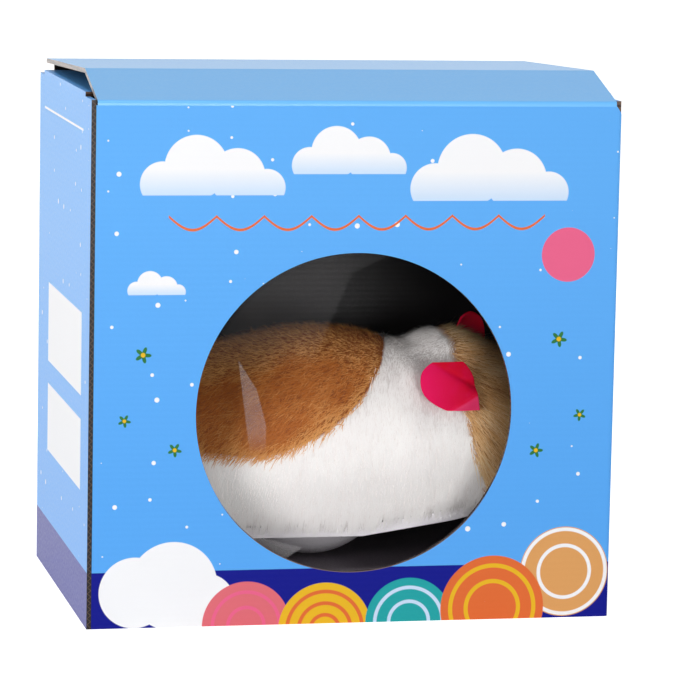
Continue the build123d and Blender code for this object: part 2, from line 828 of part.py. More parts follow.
def make_features(plush):
    save("ear_right", outside(on_head(ear_right_shares) * ear_right_turn * ear_form(), plush))
    save("ear_left", outside(on_head(ear_left_shares) * ear_left_turn * ear_form(), plush))
    save("eye_right", outside(on_head(eye_right_shares) * Sphere(eye_radius), plush))
    save("eye_left", outside(on_head(eye_left_shares) * Sphere(eye_radius), plush))
    save("nose", outside(on_head(nose_shares) * Sphere(nose_radius), plush))


os.makedirs("parts", exist_ok=True)
make_walls()
make_glue_tab()
make_bottom()
make_window_film()
make_insert()
make_lid()
make_tuck_flap()
make_dust_flaps()
make_gears()
make_chassis()
make_motor()
make_axle()
make_ball()
make_base_plate()
make_housing()
make_battery()
make_switch()
make_features(make_plush())
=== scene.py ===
import math
import bpy
import numpy as np
from mathutils import Matrix, Vector, bvhtree, kdtree, noise


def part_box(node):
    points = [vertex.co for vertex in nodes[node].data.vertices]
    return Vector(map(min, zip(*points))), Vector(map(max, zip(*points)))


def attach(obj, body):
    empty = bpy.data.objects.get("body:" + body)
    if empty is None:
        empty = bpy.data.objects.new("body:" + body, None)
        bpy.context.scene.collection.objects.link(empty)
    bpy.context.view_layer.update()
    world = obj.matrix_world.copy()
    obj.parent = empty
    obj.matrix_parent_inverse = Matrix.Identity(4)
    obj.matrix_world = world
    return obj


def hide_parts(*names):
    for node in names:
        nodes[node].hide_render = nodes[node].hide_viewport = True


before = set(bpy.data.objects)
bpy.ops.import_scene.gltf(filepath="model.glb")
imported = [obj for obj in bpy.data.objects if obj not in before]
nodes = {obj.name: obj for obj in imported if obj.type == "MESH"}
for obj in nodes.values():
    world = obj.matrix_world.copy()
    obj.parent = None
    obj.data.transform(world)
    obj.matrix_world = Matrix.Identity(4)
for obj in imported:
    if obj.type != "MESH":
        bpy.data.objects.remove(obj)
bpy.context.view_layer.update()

# A windowed carton with a plush toy inside. Lengths are metres unless a name ends in _mm.
# +X is to the right of the carton's front, +Y runs to its back and +Z is up.
MM = 0.001

# Camera, solved from the carton's corners in the photo
camera_at = Vector((-0.27109, -1.30041, 0.27262))
camera_right = Vector((0.97809, -0.20728, 0.01927))
camera_up = Vector((0.00994, 0.13898, 0.99024))
camera_lens_mm = 202.53
sensor_mm = 36.0

# Light: softboxes at the front, sides and back of the carton and overhead, and an even surround
softboxes = {
    "key": {"at": (-1.03, -1.20, 0.24), "size": 0.6, "power": 9.0},
    "fill": {"at": (0.10, -1.50, 0.07), "size": 0.4, "power": 8.2},
    "left": {"at": (-1.45, -0.45, 0.35), "size": 0.7, "power": 2.0},
    "right": {"at": (1.45, 0.20, 0.35), "size": 0.7, "power": 6.0},
    "back": {"at": (-0.95, 1.20, 0.45), "size": 0.8, "power": 7.0},
    "top": {"at": (-0.10, -0.62, 1.35), "size": 0.3, "power": 4.6},
}
light_aim = (0.0, 0.0, 0.08)
surround = 0.26
floor_reach = 12.0
floor_albedo = 0.55
floor_lift = 0.92


def linear(red, green, blue):
    """A colour written as sRGB bytes, as the linear colour that a socket takes."""
    levels = [c / 255 for c in (red, green, blue)]
    return tuple(c / 12.92 if c <= 0.04045 else ((c + 0.055) / 1.055) ** 2.4 for c in levels) + (1.0,)


sky_blue = linear(92, 172, 248)
sky_pale = linear(100, 178, 250)
# The lid's blues are paler copies of the walls' sky blue: painted light that makes the lid render brighter.
lid_blue_painted_light = linear(104, 188, 255)
lid_pale_painted_light = linear(110, 192, 255)
navy = linear(20, 26, 140)
white_ink = linear(250, 250, 252)
cloud_shade = linear(206, 228, 253)
orange_ink = linear(229, 112, 58)
pink_ink = linear(238, 104, 144)
rose_ink = linear(228, 112, 122)
teal_ink = linear(40, 166, 168)
yellow_ink = linear(238, 188, 42)
green_ink = linear(52, 120, 62)
tan_ink = linear(226, 164, 100)
kraft = linear(116, 90, 74)
flute_hollow_shade = linear(20, 14, 14)
inside_black = linear(11, 7, 10)
# The window's cut edge: dark as painted shade, with a pale rim as a painted highlight.
cut_edge_painted_shade = linear(34, 12, 16)
cut_rim_painted_highlight = linear(122, 104, 100)
worn_ink = linear(238, 243, 250)
# The black card is written mid grey: painted light that brightens it where it sits in shade.
card_dark_painted_light = linear(128, 120, 128)
card_pale_painted_light = linear(146, 138, 145)
facing_cosines = (0.42, 0.5)
petal_share = 0.3


class Look:
    """One material, with short calls for its nodes. A value is a number, a colour or a socket."""

    def __init__(self, name, **sockets):
        self.material = bpy.data.materials.new(name)
        self.material.use_nodes = True
        self.tree = self.material.node_tree
        self.shader = self.tree.nodes["Principled BSDF"]
        self.set(**sockets)

    def put(self, socket, value):
        if isinstance(value, bpy.types.NodeSocket):
            self.tree.links.new(value, socket)
        else:
            socket.default_value = value

    def set(self, **sockets):
        """Sets the shader's sockets: base_color stands for Base Color."""
        for name, value in sockets.items():
            words = [word if word == "IOR" else word.capitalize() for word in name.split("_")]
            self.put(self.shader.inputs[" ".join(words)], value)

    def node(self, kind, *values, out=0, **settings):
        made = self.tree.nodes.new("ShaderNode" + kind)
        for name, value in settings.items():
            setattr(made, name, value)
        for socket, value in zip(made.inputs, values):
            if value is not None:
                self.put(socket, value)
        return made.outputs[out]

    def math(self, operation, *values):
        return self.node("Math", *values, operation=operation)

    def ramp(self, value, low, high, to_low=0.0, to_high=1.0):
        """A value mapped from one range to another, and held at its ends."""
        return self.node("MapRange", value, low, high, to_low, to_high)

    def over(self, base, colour, mask):
        """One colour painted over another where the mask is 1."""
        made = self.tree.nodes.new("ShaderNodeMix")
        made.data_type = "RGBA"
        for index, value in ((0, mask), (6, base), (7, colour)):
            self.put(made.inputs[index], value)
        return made.outputs[2]

    def coords(self):
        """The rest coordinates in millimetres, as a vector and as X, Y and Z."""
        place = self.node("TexCoord", out=3)
        vector = self.node("VectorMath", place, None, None, 1 / MM, operation="SCALE")
        split = self.tree.nodes.new("ShaderNodeSeparateXYZ")
        self.put(split.inputs[0], vector)
        return vector, split.outputs[0], split.outputs[1], split.outputs[2]

    def flat(self, u, v):
        return self.node("CombineXYZ", u, v)

    def noise(self, vector, scale, detail=3.0, roughness=0.5):
        made = self.tree.nodes.new("ShaderNodeTexNoise")
        settings = {"Vector": vector, "Scale": scale, "Detail": detail, "Roughness": roughness}
        for name, value in settings.items():
            self.put(made.inputs[name], value)
        return made.outputs[0]

    def stretch(self, vector, x, y, z):
        return self.node("VectorMath", vector, (x, y, z), operation="MULTIPLY")

    def faces(self, *directions):
        """1 where the surface at rest faces one of these directions."""
        normal = self.node("TexCoord", out=1)
        best = None
        for direction in directions:
            along = self.node("VectorMath", normal, direction, operation="DOT_PRODUCT", out=1)
            best = along if best is None else self.math("MAXIMUM", best, along)
        return self.ramp(best, *facing_cosines)

    def bump(self, height, depth, strength=1.0):
        """Height from 0 to 1 as a bump of this depth in metres."""
        made = self.tree.nodes.new("ShaderNodeBump")
        for name, value in (("Height", height), ("Distance", depth), ("Strength", strength)):
            self.put(made.inputs[name], value)
        self.put(self.shader.inputs["Normal"], made.outputs[0])

    def disc(self, at, x, y, radius, soft=0.12):
        distance = self.node("VectorMath", at, (x, y, 0), operation="DISTANCE", out=1)
        return self.ramp(distance, radius + soft, radius - soft)

    def band(self, value, low, high, soft=0.1):
        """1 where a value lies between two limits."""
        rise = self.ramp(value, low - soft, low + soft)
        return self.math("MULTIPLY", rise, self.ramp(value, high + soft, high - soft))

    def flower(self, at, x, y, radius, petals, turn):
        """A round flower with lobed petals."""
        away = self.node("VectorMath", at, (x, y, 0), operation="SUBTRACT")
        split = self.tree.nodes.new("ShaderNodeSeparateXYZ")
        self.put(split.inputs[0], away)
        angle = self.math("ARCTAN2", split.outputs[1], split.outputs[0])
        wave = self.math("COSINE", self.math("MULTIPLY_ADD", angle, petals, turn))
        reach = self.math("MULTIPLY_ADD", wave, petal_share * radius, (1 - petal_share) * radius)
        distance = self.node("VectorMath", away, out=1, operation="LENGTH")
        return self.ramp(self.math("SUBTRACT", reach, distance), -0.15, 0.15)


# Camera, lights and stage

def place_camera():
    camera = bpy.data.cameras.new("camera")
    camera.lens = camera_lens_mm
    camera.sensor_width = sensor_mm
    item = bpy.data.objects.new("camera", camera)
    bpy.context.collection.objects.link(item)
    right = camera_right.normalized()
    back = right.cross(camera_up).normalized()
    up = back.cross(right)
    turn = Matrix((right, up, back)).transposed().to_4x4()
    item.matrix_world = Matrix.Translation(camera_at) @ turn
    bpy.context.scene.camera = item


def add_softbox(name, at, size, power):
    light = bpy.data.lights.new(name, "AREA")
    light.shape = "SQUARE"
    light.size = size
    light.energy = power
    item = bpy.data.objects.new(name, light)
    bpy.context.collection.objects.link(item)
    item.location = at
    item.rotation_euler = (Vector(light_aim) - Vector(at)).to_track_quat("-Z", "Y").to_euler()


def seen_directly(tree):
    """1 for rays that show the background: from the camera, or by a reflection or clear film."""
    path = tree.nodes.new("ShaderNodeLightPath")
    total = path.outputs["Is Camera Ray"]
    for name in ("Is Glossy Ray", "Is Transmission Ray"):
        most = tree.nodes.new("ShaderNodeMath")
        most.operation = "MAXIMUM"
        tree.links.new(total, most.inputs[0])
        tree.links.new(path.outputs[name], most.inputs[1])
        total = most.outputs[0]
    return total


def make_world():
    world = bpy.data.worlds.new("surround")
    bpy.context.scene.world = world
    world.use_nodes = True
    tree = world.node_tree
    lit = tree.nodes["Background"]
    lit.inputs["Color"].default_value = (1, 1, 1, 1)
    lit.inputs["Strength"].default_value = surround
    shown = tree.nodes.new("ShaderNodeBackground")
    shown.inputs["Color"].default_value = (1, 1, 1, 1)
    shown.inputs["Strength"].default_value = 1.0
    mix = tree.nodes.new("ShaderNodeMixShader")
    tree.links.new(seen_directly(tree), mix.inputs[0])
    tree.links.new(lit.outputs[0], mix.inputs[1])
    tree.links.new(shown.outputs[0], mix.inputs[2])
    tree.links.new(mix.outputs[0], tree.nodes["World Output"].inputs["Surface"])


def make_floor():
    mesh = bpy.data.meshes.new("floor")
    corners = [(-floor_reach, -floor_reach, 0), (floor_reach, -floor_reach, 0),
               (floor_reach, floor_reach, 0), (-floor_reach, floor_reach, 0)]
    mesh.from_pydata(corners, [], [(0, 1, 2, 3)])
    floor = bpy.data.objects.new("floor", mesh)
    bpy.context.collection.objects.link(floor)
    look = Look("floor", base_color=(floor_albedo,) * 3 + (1,), roughness=0.9,
                emission_color=(1, 1, 1, 1), emission_strength=0.0)
    lift = look.math("MULTIPLY", seen_directly(look.tree), floor_lift)
    look.set(emission_strength=lift)
    mesh.materials.append(look.material)


bpy.context.scene.view_settings.view_transform = "Standard"
place_camera()
for softbox, setting in softboxes.items():
    add_softbox(softbox, setting["at"], setting["size"], setting["power"])
make_world()
make_floor()

# Carton: printed outside, black inside, with bare corrugated edges

flute_pitch_mm = 2.1
flute_swing_mm = 0.48
left_cut_mm = -89.2
band_top_mm = 19.0
window_mm = (0.0, 71.6)
window_radius_mm = 54.0
# The pale rim is a painted highlight on the lower half of the window's edge, and the cut disc paints the cut
# edge in painted shade.
rim_radius_mm = window_radius_mm + 0.28
rim_fade_mm = (46.0, 34.0)
cut_radius_mm = window_radius_mm + 0.03
ink_soft_mm = 0.1
sky_fade_mm = (40.0, 150.0)
wash_scale = 0.02
dot_scale = 0.075
dot_least = 0.45
dot_size = 0.075
dot_soft = 0.012
ring_share = 0.08

# Places of the print in millimetres: clouds with a scale, discs with a radius, flowers with a radius and turn
cloud_puffs = ((-13.0, 3.0, 6.0), (-4.0, 7.5, 8.5), (7.0, 5.0, 7.5), (15.0, 2.0, 5.0))
cloud_fade_mm = 7.0
front_clouds = ((-50.0, 145.0, 1.25), (-4.0, 152.0, 1.0), (44.0, 143.0, 1.4), (-68.0, 112.0, 0.5))
front_disc = (72.5, 124.7, 9.2)
front_puffs = ((-74.0, 12.0, 12.0), (-61.0, 14.0, 15.0), (-50.0, 8.0, 10.0))
front_flowers = (
    (-72.0, 92.0, 2.8, 0.3), (-61.0, 60.0, 2.4, 1.2), (70.0, 96.0, 2.8, 0.8),
    (63.0, 58.0, 2.5, 0.1), (78.0, 70.0, 2.2, 2.0), (-78.0, 70.0, 2.2, 0.9),
)
flower_petals = 5.0
flower_eye = 0.28
garland_pitch_mm = 16.0
garland_swing_mm = 4.5
garland_top_mm = 138.0
garland_half_mm = 0.45
garland_reach_mm = 64.0
back_clouds = ((-40.0, 128.0, 1.4), (36.0, 112.0, 1.2))
left_rule_mm = ((164.6, 165.4), (-46.0, 50.0))
left_blocks_mm = (((44.0, 68.0), (-46.0, 36.0)), ((76.0, 104.0), (-46.0, 36.0)))

# Balls of the print: X, Z and radius in millimetres, colour, rings as shares of the radius, ring colour
front_balls = (
    (74.0, 16.0, 15.5, tan_ink, (0.98, 0.62), white_ink),
    (-36.0, 0.0, 15.0, rose_ink, (0.8, 0.45), pink_ink),
    (-9.0, -2.0, 16.0, yellow_ink, (0.85, 0.6, 0.35), orange_ink),
    (20.0, 0.0, 15.0, teal_ink, (0.82, 0.5), cloud_shade),
    (49.0, 4.0, 18.0, orange_ink, (0.85, 0.55), yellow_ink),
)
back_balls = (
    (-30.0, 2.0, 17.0, teal_ink, (0.82, 0.5), cloud_shade),
    (30.0, 2.0, 17.0, yellow_ink, (0.85, 0.6), orange_ink),
)


def dress(look, *names):
    """Gives CAD nodes this material."""
    for name in names:
        item = nodes[name]
        if not item.material_slots:
            item.data.materials.append(look.material)
        for slot in item.material_slots:
            slot.material = look.material


def printed_sky(look, z, flat):
    """Blue ground with a scatter of small white dots, above a navy band."""
    ground = look.over(sky_blue, sky_pale, look.ramp(z, *sky_fade_mm))
    cells = look.tree.nodes.new("ShaderNodeTexVoronoi")
    cells.voronoi_dimensions = "2D"
    look.put(cells.inputs["Vector"], flat)
    look.put(cells.inputs["Scale"], dot_scale)
    pick = look.node("SeparateColor", cells.outputs["Color"])
    size = look.ramp(pick, dot_least, 1.0, 0.0, dot_size)
    dots = look.ramp(look.math("SUBTRACT", size, cells.outputs["Distance"]), 0.0, dot_soft)
    ground = look.over(ground, white_ink, dots)
    return look.over(ground, navy, look.ramp(z, band_top_mm + ink_soft_mm, band_top_mm - ink_soft_mm))


def cloud(look, ground, flat, v, x, y, scale):
    """A flat-bottomed cloud of round puffs with a pale underside."""
    mask = None
    for across, above, radius in cloud_puffs:
        puff = look.disc(flat, x + across * scale, y + above * scale, radius * scale)
        mask = puff if mask is None else look.math("MAXIMUM", mask, puff)
    mask = look.math("MULTIPLY", mask, look.ramp(v, y - ink_soft_mm, y + ink_soft_mm))
    tone = look.over(cloud_shade, white_ink, look.ramp(v, y, y + cloud_fade_mm * scale))
    return look.over(ground, tone, mask)


def ringed_ball(look, ground, flat, x, y, radius, colour, rings, ring_colour):
    """A round ball with rings inside it."""
    ground = look.over(ground, colour, look.disc(flat, x, y, radius))
    for share in rings:
        outer = look.disc(flat, x, y, radius * share)
        inner = look.disc(flat, x, y, radius * (share - ring_share))
        ground = look.over(ground, ring_colour, look.math("SUBTRACT", outer, inner))
    return ground


def garland(look, x, z):
    """A thin line that hangs in even swags."""
    swing = look.math("ABSOLUTE", look.math("SINE", look.math("MULTIPLY", x, math.pi / garland_pitch_mm)))
    line = look.math("MULTIPLY_ADD", swing, -garland_swing_mm, garland_top_mm)
    thin = look.band(look.math("SUBTRACT", z, line), -garland_half_mm, garland_half_mm)
    return look.math("MULTIPLY", thin, look.band(x, -garland_reach_mm, garland_reach_mm))


def front_art(look, vector, x, y, z):
    """The front's print, with the cut edge of the window's board painted round the hole: dark all round as
    painted shade, and with a pale rim on the lower half as a painted highlight.
    """
    flat = look.flat(x, z)
    ground = printed_sky(look, z, flat)
    for place in front_clouds:
        ground = cloud(look, ground, flat, z, *place)
    ground = look.over(ground, orange_ink, garland(look, x, z))
    ground = look.over(ground, pink_ink, look.disc(flat, *front_disc))
    for at_x, at_z, size, turn in front_flowers:
        ground = look.over(ground, green_ink, look.flower(flat, at_x, at_z, size, flower_petals, turn))
        ground = look.over(ground, yellow_ink, look.disc(flat, at_x, at_z, size * flower_eye))
    for puff in front_puffs:
        ground = look.over(ground, white_ink, look.disc(flat, *puff))
    for ball in front_balls:
        ground = ringed_ball(look, ground, flat, *ball)
    # A pale rim on the lower half is a painted highlight, and the dark disc paints the cut edge in painted
    # shade.
    rim = look.disc(flat, *window_mm, rim_radius_mm, 0.05)
    ground = look.over(ground, cut_rim_painted_highlight, look.math("MULTIPLY", rim, look.ramp(z, *rim_fade_mm)))
    return look.over(ground, cut_edge_painted_shade, look.disc(flat, *window_mm, cut_radius_mm, 0.02))


def left_art(look, vector, x, y, z):
    ground = printed_sky(look, z, look.flat(y, z))
    for heights, depths in (left_rule_mm, *left_blocks_mm):
        block = look.math("MULTIPLY", look.band(z, *heights), look.band(y, *depths))
        ground = look.over(ground, white_ink, block)
    return ground


def side_art(look, vector, x, y, z):
    return printed_sky(look, z, look.flat(y, z))


def back_art(look, vector, x, y, z):
    flat = look.flat(x, z)
    ground = printed_sky(look, z, flat)
    for place in back_clouds:
        ground = cloud(look, ground, flat, z, *place)
    for ball in back_balls:
        ground = ringed_ball(look, ground, flat, *ball)
    return ground


def lid_art(look, vector, x, y, z):
    return look.over(lid_blue_painted_light, lid_pale_painted_light, look.noise(vector, wash_scale))


def plain_art(look, vector, x, y, z):
    return look.over(sky_blue, sky_pale, look.noise(vector, wash_scale))


def carton_look(name, art, outward, gloss=0.2, coat=0.0, cut_x=None):
    """Printed satin board: the art on faces that look outward, black on those that look inward.

    A raw edge is plain board with the hollows of its flute painted dark as painted shade, or shows its flute
    where cut_x gives the middle of the board, with painted shade in the hollows beside it.
    """
    look = Look(name, roughness=0.36, specular_IOR_level=gloss, coat_weight=coat, coat_roughness=0.3)
    vector, x, y, z = look.coords()
    outside = look.faces(*outward)
    inside = look.faces(tuple(-c for c in outward[0]))
    fibre = look.noise(vector, 0.9, 4.0, 0.6)
    wear = look.ramp(look.noise(vector, 0.35, 6.0, 0.7), 0.72, 0.86, 0.0, 0.5)
    ink = look.over(art(look, vector, x, y, z), worn_ink, wear)
    wave = look.math("SINE", look.math("MULTIPLY", z, 2 * math.pi / flute_pitch_mm))
    # The dark hollows between the flutes of a raw edge are painted shade.
    if cut_x is None:
        hollow = look.ramp(look.math("MULTIPLY_ADD", fibre, 0.8, wave), 0.3, 1.2, 0.0, 0.75)
    else:
        across = look.math("SUBTRACT", x, cut_x)
        away = look.math("ABSOLUTE", look.math("MULTIPLY_ADD", wave, -flute_swing_mm, across))
        hollow = look.ramp(look.math("MULTIPLY", look.ramp(away, 0.24, 0.08), fibre), 0.0, 0.6, 1.0, 0.45)
    edge = look.over(kraft, flute_hollow_shade, hollow)
    colour = look.over(edge, ink, outside)
    colour = look.over(colour, inside_black, inside)
    look.set(base_color=colour, roughness=look.ramp(fibre, 0.3, 0.7, 0.3, 0.44))
    washboard = look.math("MULTIPLY_ADD", wave, 0.2, fibre)
    look.bump(washboard, 0.00003)
    return look


front, back = (0, -1, 0), (0, 1, 0)
left, right = (-1, 0, 0), (1, 0, 0)
up, down = (0, 0, 1), (0, 0, -1)
cut_corner = (0.82, 0, 0.57)
dress(carton_look("front_print", front_art, (front, right, up, cut_corner), 0.06), "front_panel")
dress(carton_look("left_print", left_art, (left, up), cut_x=left_cut_mm), "left_panel")
dress(carton_look("right_print", side_art, (right, up)), "right_panel")
dress(carton_look("back_print", back_art, (back, left, right)), "back_panel")
dress(carton_look("lid_print", lid_art, (up, front), 0.3, 0.36), "lid_panel")
dress(carton_look("flap_print", plain_art, (up, left, right), 0.3), "dust_flap_left", "dust_flap_right")
dress(carton_look("tuck_print", plain_art, (back,)), "tuck_flap")
dress(carton_look("base_print", plain_art, (down,)), "bottom_panel", "bottom_flap_left", "bottom_flap_right")
dress(carton_look("tab_print", plain_art, (left,)), "glue_tab")


# Slanted edges of the marks painted on the film, which are painted reflections and a painted crease
# highlight: the X and Z of a place on each in millimetres, and its X for each Z
reflection_haze_edges = ((-8.1, 103.6, 0.43), (-1.6, 118.7, 2.28))
crease_highlight_left = (-39.6, 89.6, -0.137)
crease_highlight_rights = ((-39.6, 89.6, -0.64), (-33.2, 79.6, -0.28), (-29.9, 67.8, 0.0))
low_reflection_edge = (-18.1, 25.0, 1.59)
reflection_haze_fade_mm = (86.0, 98.0)
crease_highlight_fade_mm = (58.0, 66.0)
low_reflection_tilt = 0.276
low_reflection_fade_mm = (21.6, 20.4)
clear_alpha = 0.001
reflection_haze_alpha = 0.012
crease_highlight_alpha = 0.06
low_reflection_alpha = 0.08


def slant(look, z, edge):
    """X on a slanted edge at the height z."""
    at_x, at_z, lean = edge
    return look.math("MULTIPLY_ADD", z, lean, at_x - lean * at_z)


def make_film_look():
    """Clear film, with painted reflections in its alpha: a faint haze at the upper left, a painted highlight
    along one pale crease and a patch at the lower left.
    """
    look = Look("clear_film", base_color=linear(236, 230, 232), roughness=0.12, specular_IOR_level=0.5)
    vector, x, y, z = look.coords()
    # The faint haze at the upper left is a painted reflection.
    limit = look.math("MAXIMUM", *(slant(look, z, edge) for edge in reflection_haze_edges))
    haze = look.ramp(look.math("SUBTRACT", limit, x), -0.6, 0.6)
    haze = look.math("MULTIPLY", haze, look.ramp(z, *reflection_haze_fade_mm))
    haze = look.math("MULTIPLY", haze, look.ramp(look.noise(vector, 0.04, 2.0), 0.3, 0.6, 0.7, 1.0))
    # The pale streak is a painted highlight along a crease.
    crease = look.ramp(look.math("SUBTRACT", x, slant(look, z, crease_highlight_left)), -0.15, 0.15)
    for edge in crease_highlight_rights:
        inside = look.ramp(look.math("SUBTRACT", slant(look, z, edge), x), -0.15, 0.15)
        crease = look.math("MULTIPLY", crease, inside)
    crease = look.math("MULTIPLY", crease, look.ramp(z, *crease_highlight_fade_mm))
    # The patch at the lower left is a painted reflection.
    low = look.ramp(look.math("SUBTRACT", slant(look, z, low_reflection_edge), x), -0.25, 0.25)
    low = look.math("MULTIPLY", low, look.ramp(look.math("MULTIPLY_ADD", x, low_reflection_tilt, z), *low_reflection_fade_mm))
    veil = look.math("MULTIPLY_ADD", low, low_reflection_alpha, clear_alpha)
    veil = look.math("MULTIPLY_ADD", haze, reflection_haze_alpha, veil)
    look.set(alpha=look.math("MULTIPLY_ADD", crease, crease_highlight_alpha, veil))
    return look


def make_card_look():
    look = Look("black_card", roughness=0.24, specular_IOR_level=0.3)
    fibre = look.noise(look.coords()[0], 1.2, 4.0, 0.6)
    # The card's two greys carry painted light, brighter than black card.
    look.set(base_color=look.over(card_dark_painted_light, card_pale_painted_light, look.ramp(fibre, 0.35, 0.75)))
    look.bump(fibre, 0.00004)
    return look


dress(make_film_look(), "window_film")
dress(make_card_look(), "insert_tray")

# Plush: one padded skin over the CAD forms, with a pile of fine ribbons planted on it

skin_voxel = 0.0016
skin_smooths = 6
lump_depth = 0.0007
lump_size_mm = 16.0
neck_x = (0.004, 0.062)
neck_z = (0.024, 0.090)
neck_fade = 0.010
settle_smooths = 10
neck_steps = 27
flank_facing = 0.2
pile_seed = 11
pile_count = 150000
fringe_mm = 4.0
tan_mix_mm = 0.6
brown_mix_mm = 0.9
ribbon_shares = (0.0, 0.42, 0.76)
ribbon_root_depth = 0.0003
look_ahead = 0.09
crest_from, crest_span = 0.66, 0.26
length_spread = (0.72, 1.12)
drop_spread = (0.80, 1.0)
least_drop = 0.001
skirt_up, skirt_side = 0.5, 0.4
hang_back = 0.12
shortest_share = 0.12
hang_turn = 0.85
gather_power = 1.5
taper_power = 0.7
rise_light = 0.35
lowest_facing = -0.75
ray_start = 0.001


def add_piece(name, mesh, look, body, slot, *replaced):
    """A new piece with this look that rides on a body and stands for CAD nodes. Its slot is not used."""
    item = bpy.data.objects.new(name, mesh)
    bpy.context.collection.objects.link(item)
    mesh.materials.append(look.material)
    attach(item, body)
    if replaced:
        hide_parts(*replaced)
    return item


def soft_mesh(names):
    """CAD forms joined, remeshed, smoothed and pushed out into slight lumps, as filled cloth."""
    points, faces = [], []
    for name in names:
        place, _, corners = mesh_arrays(nodes[name].data)
        faces += (corners + len(points)).tolist()
        points += place.tolist()
    rough = bpy.data.meshes.new("form")
    rough.from_pydata(points, [], faces)
    mesh = evened(rough, skin_smooths)
    fill_neck(mesh)
    mesh = evened(mesh, settle_smooths)
    mesh.name = "plush_skin"
    for vertex in mesh.vertices:
        lump = noise.noise(vertex.co / (lump_size_mm * MM))
        vertex.co += vertex.normal * lump * lump_depth
    mesh.shade_smooth()
    mesh.update()
    return mesh


def evened(mesh, smooths):
    """The mesh remeshed to even faces and smoothed this many times."""
    shape = bpy.data.objects.new("form", mesh)
    bpy.context.collection.objects.link(shape)
    remesh = shape.modifiers.new("remesh", "REMESH")
    remesh.mode = "VOXEL"
    remesh.voxel_size = skin_voxel
    shape.modifiers.new("smooth", "SMOOTH").iterations = smooths
    ready = shape.evaluated_get(bpy.context.evaluated_depsgraph_get())
    made = bpy.data.meshes.new_from_object(ready)
    bpy.data.objects.remove(shape)
    return made


def span(heights):
    """The tightest line over a row of heights that never dips, as cloth pulled across them."""
    steps = np.arange(len(heights))
    pulled = heights.copy()
    for a in steps:
        for b in steps[a + 1:]:
            bridge = np.interp(steps[a:b + 1], (a, b), heights[[a, b]])
            pulled[a:b + 1] = np.maximum(pulled[a:b + 1], bridge)
    return pulled


def fill_neck(mesh):
    """Pulls the skin straight across the dip between body and head on each flank."""
    place, normal, corners = mesh_arrays(mesh)
    tree = bvhtree.BVHTree.FromPolygons(place.tolist(), corners.tolist())
    along = np.linspace(*neck_x, neck_steps)
    heights = np.linspace(*neck_z, neck_steps)
    fade = np.clip((neck_z[1] - place[:, 2]) / neck_fade, 0, 1)
    for side in (-1, 1):
        flank = np.zeros((neck_steps, neck_steps))
        for row, z in enumerate(heights):
            for column, x in enumerate(along):
                hit = tree.ray_cast(Vector((x, side * look_ahead, z)), Vector((0, -side, 0)))[0]
                flank[row, column] = abs(hit.y) if hit else np.nan
        for column in flank.T:
            seen = np.flatnonzero(~np.isnan(column))
            column[:] = np.interp(np.arange(neck_steps), seen, column[seen])
        lift = np.array([span(row) for row in flank]) - flank
        level = (place[:, 2] - neck_z[0]) / (neck_z[1] - neck_z[0]) * (neck_steps - 1)
        row = np.clip(level.astype(int), 0, neck_steps - 2)
        share = np.clip(level - row, 0, 1)
        table = np.array([[np.interp(x, along, lift[r + k], 0, 0) for k in (0, 1)]
                          for x, r in zip(place[:, 0], row)])
        raised = table[:, 0] * (1 - share) + table[:, 1] * share
        outer = normal[:, 1] * side > flank_facing
        outer &= (place[:, 0] > neck_x[0]) & (place[:, 0] < neck_x[1])
        place[:, 1] += np.where(outer, side * raised * fade, 0)
    mesh.vertices.foreach_set("co", place.ravel())
    mesh.update()


def mesh_arrays(mesh):
    """Points, normals and triangles of a mesh as arrays."""
    points = np.empty(len(mesh.vertices) * 3)
    normals = np.empty(len(mesh.vertices) * 3)
    mesh.vertices.foreach_get("co", points)
    mesh.vertex_normals.foreach_get("vector", normals)
    mesh.calc_loop_triangles()
    corners = np.empty(len(mesh.loop_triangles) * 3, dtype=np.int32)
    mesh.loop_triangles.foreach_get("vertices", corners)
    return points.reshape(-1, 3), normals.reshape(-1, 3), corners.reshape(-1, 3)


def scatter(mesh, count, rng):
    """Random points on a mesh, evenly by area, with smooth normals."""
    points, normals, corners = mesh_arrays(mesh)
    a, b, c = (points[corners[:, i]] for i in range(3))
    area = np.linalg.norm(np.cross(b - a, c - a), axis=1)
    pick = rng.choice(len(corners), count, p=area / area.sum())
    u, v = rng.random(count), rng.random(count)
    fold = u + v > 1
    u[fold], v[fold] = 1 - u[fold], 1 - v[fold]
    shares = np.stack([1 - u - v, u, v], axis=1)
    root = sum(shares[:, i, None] * points[corners[pick, i]] for i in range(3))
    normal = sum(shares[:, i, None] * normals[corners[pick, i]] for i in range(3))
    return root, normal / np.linalg.norm(normal, axis=1, keepdims=True)


def open_air(root, normal, tree):
    """True where the surface looks out of the toy, and not into its hollow or a neighbour."""
    clear = np.ones(len(root), dtype=bool)
    for i, (place, way) in enumerate(zip(root, normal)):
        start = Vector(place + way * ray_start)
        clear[i] = tree.ray_cast(start, Vector(way), look_ahead)[0] is None
    return clear


def unit(vectors):
    return vectors / np.maximum(np.linalg.norm(vectors, axis=1, keepdims=True), 1e-9)


